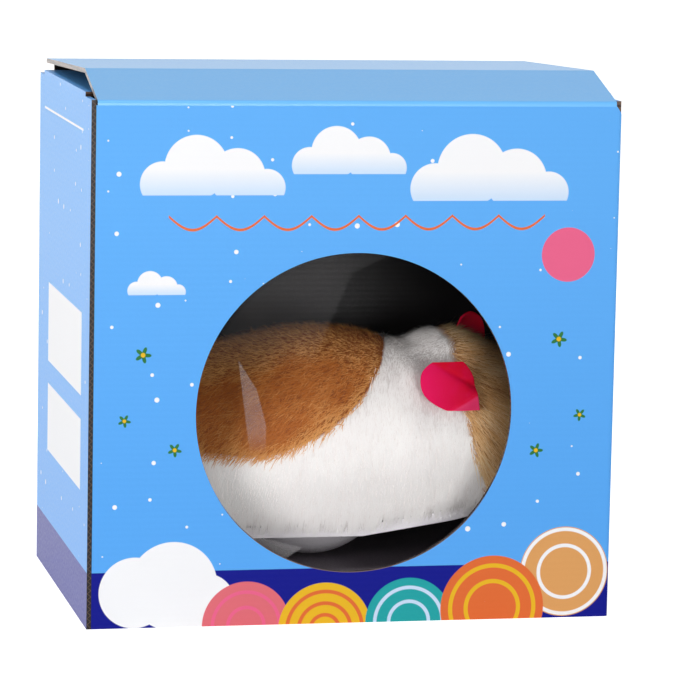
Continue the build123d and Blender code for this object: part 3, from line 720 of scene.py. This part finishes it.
def plant(name, root, normal, edge, pile, look, slot):
    """A pile of flat tapering ribbons, combed along the skin and gathered into small tufts.

    edge is how far each root lies inside its own colour, in millimetres. Ribbons near the hem hang over the
    edge of the base plate, and the rest stop short of its lower edge.
    """
    rng = np.random.default_rng(pile_seed)
    count = len(root)
    comb = pile["comb"](root)
    comb = unit(comb - normal * np.sum(comb * normal, axis=1, keepdims=True))
    comb = unit(comb + pile["stray"] * rng.normal(size=(count, 3)))
    length = pile["length"](root) * rng.uniform(*length_spread, count)
    crest = np.clip((normal[:, 2] - crest_from) / crest_span, 0, 1)
    length *= 1 - pile["crest_cut"] * crest
    stand = (pile["stand"] + pile["crest_stand"] * crest)[:, None]
    rise = unit(normal * stand + comb * (1 - stand))
    hem = above_hem(root)
    skirt = (hem < hem_fur) & (normal[:, 2] < skirt_up) & (np.abs(normal[:, 1]) > skirt_side)
    parting = np.array([noise.noise(Vector((x / hem_tuft, 0.5, 0.5))) for x in root[:, 0]])
    parting = np.clip(hem_contrast * parting + hem_share, 0, 1)
    drop = np.maximum(hem - plate_line - hem_wave * parting, least_drop)
    drop *= rng.uniform(*drop_spread, count)
    out = np.maximum(plate_edge(root[:, 0]) + plate_cover - np.abs(root[:, 1]), 0)
    hang = np.stack([-hang_back * drop, out * np.sign(root[:, 1]), -drop], axis=1)
    reach = np.linalg.norm(hang, axis=1)
    skirt &= reach > length
    length[skirt] = reach[skirt]
    rise[skirt] = unit(hang)[skirt]
    sag = -(rise[:, 2] + comb[:, 2] * pile["droop"]) * length
    room = np.clip((hem - plate_line) / np.maximum(sag, 1e-6), shortest_share, 1)
    length *= np.where(skirt | (sag < 0), 1, room)
    across = unit(np.cross(rise, normal))
    seeds = rng.choice(count, int(count * pile["tuft_share"]), replace=False)
    tuft = kdtree.KDTree(len(seeds))
    for i in seeds:
        tuft.insert(Vector(root[i]), int(i))
    tuft.balance()
    owner = np.array([tuft.find(Vector(place))[1] for place in root])
    pull = (root[owner] - root) * pile["gather"]
    rows = []
    start = root - normal * ribbon_root_depth
    for share in ribbon_shares + (1.0,):
        droop = comb * (share ** 2 * pile["droop"])
        middle = start + (rise * share + droop) * length[:, None] + pull * share ** gather_power
        half = across * (0.5 * pile["width"] * (1 - share) ** taper_power)
        rows += [middle - half, middle + half] if share < 1 else [middle]
    verts = np.stack(rows, axis=1).reshape(-1, 3)
    stride = len(rows)
    first = np.arange(count)[:, None] * stride
    quads = [np.concatenate([first + k, first + k + 1, first + k + 3, first + k + 2], axis=1)
             for k in range(0, stride - 3, 2)]
    tips = np.concatenate([first + stride - 3, first + stride - 2, first + stride - 1], axis=1)
    made = bpy.data.meshes.new(name)
    build_faces(made, verts, np.concatenate(quads), tips)
    heights = np.repeat(np.array(ribbon_shares + (1.0,)), 2)[:stride]
    tone = pile["tone"](root, rng) + pile["fringe"] * np.clip(1 - edge / fringe_mm, 0, 1)
    # Ribbons on the top, where the skin faces up, take a paler tone: a painted highlight.
    tone += pile["crest"] * crest
    # Ribbons in the partings between tufts near the hem take a darker tone: painted shade between the tufts.
    tone -= pile["hem_gap_shade"] * parting * np.sqrt(np.clip(1 - hem / hem_fur, 0, 1))
    paint_uv(made, np.repeat(tone, stride), np.tile(heights, count))
    sideways = np.stack([np.zeros(count), np.sign(root[:, 1]), np.zeros(count)], axis=1)
    hanging = normal - np.minimum(normal, 0) * (0, 0, hang_turn)
    lit = hanging + (sideways - normal) * (pile["crest_turn"] * crest)[:, None] + rise_light * rise
    shade = np.repeat(unit(lit), stride, axis=0)
    made.normals_split_custom_set_from_vertices(shade)
    pile_piece = add_piece(name, made, look, "toy", slot)
    pile_piece.visible_shadow = False


def build_faces(mesh, verts, quads, triangles):
    """Fills a mesh from arrays of points, four-cornered faces and triangles."""
    mesh.vertices.add(len(verts))
    mesh.vertices.foreach_set("co", verts.ravel())
    loops = np.concatenate([quads.ravel(), triangles.ravel()])
    mesh.loops.add(len(loops))
    mesh.loops.foreach_set("vertex_index", loops)
    starts = np.concatenate([np.arange(len(quads)) * 4, len(quads) * 4 + np.arange(len(triangles)) * 3])
    mesh.polygons.add(len(starts))
    mesh.polygons.foreach_set("loop_start", starts)
    mesh.update(calc_edges=True)
    mesh.shade_smooth()


def paint_uv(mesh, tone, height):
    """A map whose U is a ribbon's tone and whose V is the height along it."""
    layer = mesh.uv_layers.new(name="OFBake")
    corner = np.empty(len(mesh.loops), dtype=np.int32)
    mesh.loops.foreach_get("vertex_index", corner)
    both = np.stack([np.clip(tone, 0.02, 0.98)[corner], 0.02 + 0.96 * height[corner]], axis=1)
    layer.data.foreach_set("uv", both.ravel())


def pile_look(name, tones, root_shade, tip_painted_highlight):
    """Pile colour: the tone across the map, darker at the root as painted shade between the ribbons and paler
    at the tip as a painted highlight.
    """
    look = Look(name, roughness=0.6, specular_IOR_level=0.15)
    place = look.tree.nodes.new("ShaderNodeUVMap")
    place.uv_map = "OFBake"
    split = look.tree.nodes.new("ShaderNodeSeparateXYZ")
    look.put(split.inputs[0], place.outputs[0])
    steps = [i / (len(tones) - 1) for i in range(len(tones))]
    colour = tones[0]
    for low, high, tone in zip(steps, steps[1:], tones[1:]):
        colour = look.over(colour, tone, look.ramp(split.outputs[0], low, high))
    colour = look.over(colour, root_shade, look.ramp(split.outputs[1], 0.0, 0.45, 0.55, 0.0))
    colour = look.over(colour, tip_painted_highlight, look.ramp(split.outputs[1], 0.6, 1.0, 0.0, 0.35))
    look.set(base_color=colour)
    return look


def cloth_look():
    """The knitted backing under the pile, white with a tan back and a brown face."""
    look = Look("plush_cloth", roughness=0.85)
    knit = look.noise(look.coords()[0], 1.4, 4.0, 0.6)
    colour = look.over(linear(242, 238, 236), linear(230, 224, 222), knit)
    for name, soft, light, dark in (("tan_side", 0.4, linear(164, 92, 38), linear(138, 74, 30)),
                                    ("brown_side", 1.6, linear(190, 134, 82), linear(160, 102, 56))):
        side = look.node("Attribute", attribute_name=name, out=2)
        colour = look.over(colour, look.over(light, dark, knit), look.ramp(side, -soft, soft))
    look.set(base_color=colour)
    look.bump(knit, 0.0002)
    return look


def fixed_way(x, y, z):
    """The same combing direction all over."""
    return lambda root: np.tile(np.array((x, y, z), dtype=float), (len(root), 1))


nape = np.array((0.034, 0.0, 0.084))
nape_flat = 0.3
nape_fall = 0.008
tan_line_x = (-0.0460, -0.0356, -0.0244, -0.0165, -0.0056, 0.0044,
              0.0113, 0.0176, 0.0202, 0.0240, 0.0250)
tan_line_z = (0.0540, 0.0530, 0.0532, 0.0555, 0.0603, 0.0670,
              0.0736, 0.0817, 0.0858, 0.0900, 0.1100)
tan_slant_share = 0.7
plate_low = 0.0240
ramp_start = 0.010
ramp_slope = math.tan(math.radians(8.8))
hem_fur = 0.009
hem_tuft = 0.0017
hem_contrast = 2.5
hem_share = 0.2
hem_wave = 0.0012
plate_corner = 0.022
plate_cover = 0.0009
plate_line = 0.0012
face_line_z = (0.0441, 0.0500, 0.0572, 0.0655, 0.0844, 0.0890, 0.0920)
face_line_x = (0.0532, 0.0504, 0.0478, 0.0460, 0.0442, 0.0450, 0.0432)
face_wobble = 0.004
face_wobble_mm = 1.2
ear_middle = np.array((0.0400, 0.0756))
ear_half = np.array((0.0070, 0.0050))
ear_press = 0.008
pressed_share = 0.3
eye_places = [np.mean(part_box(n), axis=0) for n in ("eye_right", "eye_left", "nose")]


def from_neck(root):
    """Head fur runs forward and down from the nape."""
    way = root - nape
    way[:, 1] *= nape_flat
    way[:, 2] -= nape_fall
    return way


def above_hem(root):
    """Height over the lower edge of the base plate, which is level and then rises to the front."""
    return root[:, 2] - plate_low - np.maximum(0, root[:, 0] - ramp_start) * ramp_slope


def tan_side(root):
    """How far each place lies above the lower border of the tan back, in millimetres."""
    return (root[:, 2] - np.interp(root[:, 0], tan_line_x, tan_line_z)) * tan_slant_share / MM


def brown_side(root):
    """How far each place lies on the face side of the line where the white nape ends, in millimetres."""
    wobble = np.array([noise.noise(Vector(place) / face_wobble) for place in root])
    line = np.interp(root[:, 2], face_line_z, face_line_x)
    return (root[:, 0] - line) / MM + face_wobble_mm * wobble


def plate_edge(x):
    """Half the base plate's width at a place along it, with its rounded corners."""
    low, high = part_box("base_plate")
    past = np.maximum(np.maximum(low[0] + plate_corner - x, x - high[0] + plate_corner), 0)
    return high[1] - plate_corner + np.sqrt(np.maximum(plate_corner ** 2 - past ** 2, 0))


def near(root, places, reach):
    """0 at any of these places, rising to 1 at this distance."""
    gap = np.min([np.linalg.norm(root - place, axis=1) for place in places], axis=0)
    return np.clip(gap / reach, 0, 1)


def under_ear(root):
    """The share of its length that the pile keeps, least under the near ear, which presses it flat."""
    away = np.max(np.abs(root[:, [0, 2]] - ear_middle) - ear_half, axis=1)
    free = np.clip(away / ear_press, 0, 1)
    return np.where(root[:, 1] < 0, pressed_share + (1 - pressed_share) * free, 1.0)


def patches(root, rng, size, spread):
    """Tone that varies in soft patches and a little from ribbon to ribbon."""
    broad = np.array([noise.noise(Vector(place) / size) for place in root])
    return 0.5 + 0.45 * broad + spread * rng.normal(size=len(root))


# In each pile, crest is the painted highlight given to ribbons on the top.
body_pile = {
    "fringe": 0.0, "crest": 0.0, "crest_cut": 0.3, "crest_stand": 0.05, "crest_turn": 0.0,
    "hem_gap_shade": 0.62,
    "tuft_share": 0.25, "gather": 0.22, "width": 0.00030,
    "stand": 0.17, "droop": 0.10, "stray": 0.13,
    "comb": fixed_way(-0.16, 0.0, -1.0),
    "length": lambda root: 0.0056 * under_ear(root),
    "tone": lambda root, rng: 0.47 + 0.5 * patches(root, rng, 0.012, 0.12),
}
patch_pile = {
    "fringe": 0.65, "crest": 0.6, "crest_cut": 0.45, "crest_stand": 0.0, "crest_turn": 0.5,
    "hem_gap_shade": 0.0,
    "tuft_share": 0.20, "gather": 0.14, "width": 0.00030,
    "stand": 0.34, "droop": 0.12, "stray": 0.28,
    "comb": fixed_way(-0.7, 0.0, -0.75),
    "length": lambda root: np.full(len(root), 0.0054),
    "tone": lambda root, rng: patches(root, rng, 0.011, 0.14),
}
head_pile = {
    "fringe": 0.1, "crest": 0.2, "crest_cut": 0.5, "crest_stand": -0.1, "crest_turn": 0.3,
    "hem_gap_shade": 0.3,
    "tuft_share": 0.10, "gather": 0.5, "width": 0.00032,
    "stand": 0.34, "droop": 0.22, "stray": 0.18,
    "comb": from_neck,
    "length": lambda root: (0.0025 + 0.0070 * near(root, eye_places, 0.016)) * under_ear(root),
    "tone": lambda root, rng: patches(root, rng, 0.008, 0.2),
}
# The first white tone is dark; the painted shade between the hem's tufts pulls ribbons toward it.
white_tones = (linear(166, 157, 153), linear(247, 244, 243), linear(251, 250, 248))
tan_tones = (linear(158, 84, 33), linear(188, 108, 45), linear(222, 164, 96))
head_tones = (linear(184, 130, 78), linear(232, 186, 126), linear(250, 226, 182))
# Each pile look takes its tones, a painted root shade and a painted tip highlight.
white_pile_look = pile_look("white_pile", white_tones, linear(240, 234, 233), linear(252, 251, 250))
tan_pile_look = pile_look("tan_pile", tan_tones, linear(152, 82, 32), linear(220, 164, 98))
head_pile_look = pile_look("head_pile", head_tones, linear(164, 98, 46), linear(244, 220, 182))
furs = (("white_pile", body_pile, white_pile_look, "white_plush"),
        ("tan_pile", patch_pile, tan_pile_look, "tan_plush"),
        ("brown_pile", head_pile, head_pile_look, "brown_plush"))


def mark(mesh, name, values):
    """Keeps one number for each point of a mesh, for its material to read."""
    mesh.attributes.new(name, "FLOAT", "POINT").data.foreach_set("value", values)


def make_plush():
    """One padded skin for the body, patch and head, and a pile of each colour on it."""
    forms = ("plush_body", "rear_patch", "plush_head")
    mesh = soft_mesh(forms)
    place, _, corners = mesh_arrays(mesh)
    mark(mesh, "tan_side", tan_side(place))
    mark(mesh, "brown_side", brown_side(place))
    tree = bvhtree.BVHTree.FromPolygons(place.tolist(), corners.tolist())
    add_piece("plush_skin", mesh, cloth_look(), "toy", "white_plush", *forms)
    rng = np.random.default_rng(pile_seed)
    root, normal = scatter(mesh, pile_count, rng)
    keep = normal[:, 2] > lowest_facing
    root, normal = root[keep], normal[keep]
    keep = open_air(root, normal, tree)
    root, normal = root[keep], normal[keep]
    tan = tan_side(root) + tan_mix_mm * rng.normal(size=len(root))
    brown = brown_side(root) + brown_mix_mm * rng.normal(size=len(root))
    region = np.where(brown > 0, 2, np.where(tan > 0, 1, 0))
    edge = np.where(brown > 0, brown, np.abs(tan))
    for number, (name, pile, look, slot) in enumerate(furs):
        for side, half in (("near", root[:, 1] < 0), ("far", root[:, 1] >= 0)):
            here = (region == number) & half
            plant(name + "_" + side, root[here], normal[here], edge[here], pile, look, slot)


make_plush()

# Ears: cupped flaps of satin, gathered to a pinch at the foot

ear_length_mm = 20.6
ear_half_height = 0.0084
ear_rise = 0.0060
ear_cloth = 0.0009
ear_rows, ear_columns = 30, 28
# Lines on the near ear: above the crease it is painted shade, below the low fold a painted highlight.
ear_crease_shade_slope, ear_crease_shade_mm = 0.547, 101.97
ear_fold_highlight_slope, ear_fold_highlight_mm = -0.529, 46.0
satin_turns = 14.0
ear_sides = {
    "ear_right": {"foot": (0.0492, -0.0325, 0.0756), "size": 1.0,
                  "along": (-1.0, -0.08, 0.0), "out": (-0.12, -1.0, 0.06)},
    "ear_left": {"foot": (0.0572, 0.0200, 0.0772), "size": 0.84,
                 "along": (0.45, 0.12, 0.88), "out": (-0.30, 1.0, 0.10)},
}
foot_terms = (-0.15, 1.73, 1.8, 1.22)
tip_middle, tip_power = 0.25, 2.6
tip_drop_below, tip_drop_above = 5.6, 9.6
cup_depth, cup_foot = 0.30, 0.4
valley_slope, valley_start, valley_end = 1.277, 0.05, 0.75
valley_depth, valley_half = 0.13, 0.12
set_back_depth, set_back_soft = 0.20, 0.10
low_fold_depth, low_fold_soft = 0.14, 0.35
low_fold_line = (3.6, 8.4, 10.5)
pinch_depth, pinch_across, pinch_half, pinch_reach = 0.16, -0.02, 0.22, 0.12


def ear_point(share, across):
    """Millimetres along the ear, the place across it and its rise, at a share of the way from foot to tip."""
    foot = sum(term * across ** power for power, term in enumerate(foot_terms))
    below = tip_middle - across
    tip = ear_length_mm - (tip_drop_below if below > 0 else tip_drop_above) * abs(below) ** tip_power
    reach = foot + share * (tip - foot)
    along = min(max(reach / ear_length_mm, 0.0), 1.0)
    belly = math.sin(math.pi * (0.26 + 0.38 * along)) - 0.5
    cup = cup_depth * across ** 2 * (cup_foot + (1 - cup_foot) * along)
    crease = across - valley_slope * (along - valley_start)
    fade = max(0.0, 1 - along / valley_end)
    valley = valley_depth * math.exp(-(crease / valley_half) ** 2) * fade
    set_back = set_back_depth / (1 + math.exp(-crease / set_back_soft)) * fade
    over_fold = low_fold_line[0] + low_fold_line[1] * across + low_fold_line[2] * along
    low_fold = low_fold_depth / (1 + math.exp(over_fold / low_fold_soft))
    pinch = pinch_depth * math.exp(-((across - pinch_across) / pinch_half) ** 2)
    pinch *= math.exp(-(along / pinch_reach) ** 2)
    return reach, across, belly - cup - valley - set_back + low_fold - pinch


def make_ear(node, look):
    """The flap as a grid in its own axes, thickened and rounded off."""
    side = ear_sides[node]
    along = Vector(side["along"]).normalized()
    out = Vector(side["out"])
    out = (out - along * out.dot(along)).normalized()
    up = along.cross(out)
    up = up if up.z > 0 or node == "ear_left" else -up
    foot = Vector(side["foot"])
    points = []
    for row in range(ear_rows + 1):
        for column in range(ear_columns + 1):
            across = math.sin(math.pi * (column / ear_columns - 0.5))
            reach, across, rise = ear_point(row / ear_rows, across)
            way = along * (reach * MM) + up * (across * ear_half_height) + out * (rise * ear_rise)
            points.append(foot + way * side["size"])
    wide = ear_columns + 1
    faces = [(r * wide + c, r * wide + c + 1, (r + 1) * wide + c + 1, (r + 1) * wide + c)
             for r in range(ear_rows) for c in range(ear_columns)]
    rough = bpy.data.meshes.new("ear_sheet")
    rough.from_pydata(points, [], faces)
    shape = bpy.data.objects.new("ear_sheet", rough)
    bpy.context.collection.objects.link(shape)
    thick = shape.modifiers.new("cloth", "SOLIDIFY")
    thick.thickness = ear_cloth
    thick.offset = 0
    shape.modifiers.new("round", "SUBSURF").levels = 1
    ready = shape.evaluated_get(bpy.context.evaluated_depsgraph_get())
    mesh = bpy.data.meshes.new_from_object(ready)
    bpy.data.objects.remove(shape)
    mesh.shade_smooth()
    ear = add_piece(node + "_satin", mesh, look, "toy", "ear_cloth", node)


def satin_look():
    """Bright satin in a fine weave. Its colour holds painted light: pinker at the near ear's tip and redder
    towards its foot, darker red above its crease as painted shade, and paler at its low fold as a painted
    highlight.
    """
    look = Look("ear_satin", roughness=0.55, specular_IOR_level=0.12)
    vector, x, y, z = look.coords()
    warp, weft = (look.math("SINE", look.math("MULTIPLY", way, satin_turns)) for way in (z, x))
    weave = look.math("MULTIPLY", warp, weft)
    above_crease_shade = look.math("MULTIPLY_ADD", x, ear_crease_shade_slope, look.math("SUBTRACT", z, ear_crease_shade_mm))
    low_fold_highlight = look.math("MULTIPLY_ADD", x, ear_fold_highlight_slope, look.math("SUBTRACT", z, ear_fold_highlight_mm))
    # Pinker at the tip and redder towards the foot: painted light across the ear.
    colour = look.over(linear(254, 16, 100), linear(246, 4, 58), look.ramp(x, 31.0, 46.0))
    # Darker red above the crease is painted shade, and paler below the low fold a painted highlight.
    colour = look.over(colour, linear(244, 2, 50), look.ramp(above_crease_shade, -0.8, 0.8))
    colour = look.over(colour, linear(252, 60, 116), look.ramp(low_fold_highlight, 0.4, -0.4))
    mottle = look.noise(vector, 0.25, 3.0)
    look.set(base_color=look.over(colour, linear(254, 22, 100), look.ramp(mottle, 0.45, 0.75, 0.0, 0.4)))
    look.bump(weave, 0.00003)
    return look


ear_look = satin_look()
for ear_node in ear_sides:
    make_ear(ear_node, ear_look)

# Hard pieces: moulded plastics, bright steel, cells and board


def moulded_look(name, colour, other, roughness, grain_mm=0.5, depth=0.00002):
    """Moulded plastic: a fine spark-eroded grain and slight flow marks."""
    look = Look(name, specular_IOR_level=0.5)
    vector = look.coords()[0]
    flow = look.noise(look.stretch(vector, 0.05, 0.05, 0.16), 1.0, 2.0)
    grain = look.noise(vector, 1 / grain_mm, 2.0)
    look.set(base_color=look.over(colour, other, look.ramp(flow, 0.3, 0.7)),
             roughness=look.ramp(grain, 0.3, 0.7, roughness - 0.06, roughness + 0.08))
    look.bump(grain, depth)
    return look


def steel_look():
    """Drawn and plated steel with fine lines round its axis."""
    look = Look("bright_steel", metallic=1.0)
    vector = look.coords()[0]
    lines = look.noise(look.stretch(vector, 0.4, 9.0, 0.4), 1.0, 3.0)
    look.set(base_color=look.over(linear(196, 197, 199), linear(226, 226, 226), lines),
             roughness=look.ramp(lines, 0.3, 0.7, 0.2, 0.36))
    look.bump(lines, 0.000006)
    return look


def cell_look():
    """A dark printed wrap with a bright band, and bare steel ends."""
    look = Look("cell_wrap", specular_IOR_level=0.6)
    vector, x, y, z = look.coords()
    low, high = (corner[1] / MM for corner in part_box("battery_cells"))
    scuff = look.noise(vector, 0.7, 4.0)
    colour = look.over(linear(28, 28, 32), linear(46, 46, 52), scuff)
    colour = look.over(colour, linear(196, 138, 60), look.ramp(y, high - 12.0, high - 11.9))
    ends = look.math("MAXIMUM", look.ramp(y, low + 0.9, low + 0.8), look.ramp(y, high - 1.6, high - 1.5))
    look.set(base_color=look.over(colour, linear(206, 206, 208), ends), metallic=ends,
             roughness=look.ramp(scuff, 0.3, 0.7, 0.24, 0.36))
    return look


def board_look():
    """Green laminate with paler tracks."""
    look = Look("board_laminate", roughness=0.35)
    vector, x, y, z = look.coords()
    track = look.math("ABSOLUTE", look.math("SINE", look.math("MULTIPLY", y, 1.3)))
    bend = look.noise(vector, 0.12, 1.0)
    tracks = look.ramp(look.math("MULTIPLY_ADD", bend, 0.5, track), 1.05, 1.1)
    weave = look.noise(vector, 2.0, 2.0)
    colour = look.over(linear(24, 92, 48), linear(36, 110, 60), weave)
    look.set(base_color=look.over(colour, linear(70, 148, 92), tracks))
    look.bump(tracks, 0.00004)
    return look


def bead_look():
    """Polished dark plastic with a brown depth."""
    look = Look("bead", roughness=0.06, coat_weight=0.6, coat_roughness=0.03)
    depth = look.noise(look.coords()[0], 0.3, 2.0)
    look.set(base_color=look.over(linear(12, 8, 8), linear(40, 22, 16), depth))
    return look


white_plastic = moulded_look("white_plastic", linear(246, 243, 247), linear(238, 234, 239), 0.3)
dress(white_plastic, "base_plate", "ball_shell_left", "ball_shell_right", "battery_door")
dress(moulded_look("housing_plastic", linear(212, 210, 208), linear(200, 198, 197), 0.45),
      "ball_housing", "battery_box", "gear_chassis")
dress(moulded_look("gear_plastic", linear(232, 226, 210), linear(222, 214, 196), 0.38),
      "output_gear", "compound_gear", "motor_pinion", "motor_end_cap")
dress(moulded_look("switch_plastic", linear(24, 24, 27), linear(36, 36, 40), 0.5), "power_switch")
dress(steel_look(), "housing_screws", "ball_screws", "board_screws", "axle", "compound_pin", "motor_shaft",
      "motor_can", "battery_contacts", "switch_body")
dress(cell_look(), "battery_cells")
dress(board_look(), "circuit_board")
dress(bead_look(), "eye_right", "eye_left", "nose")
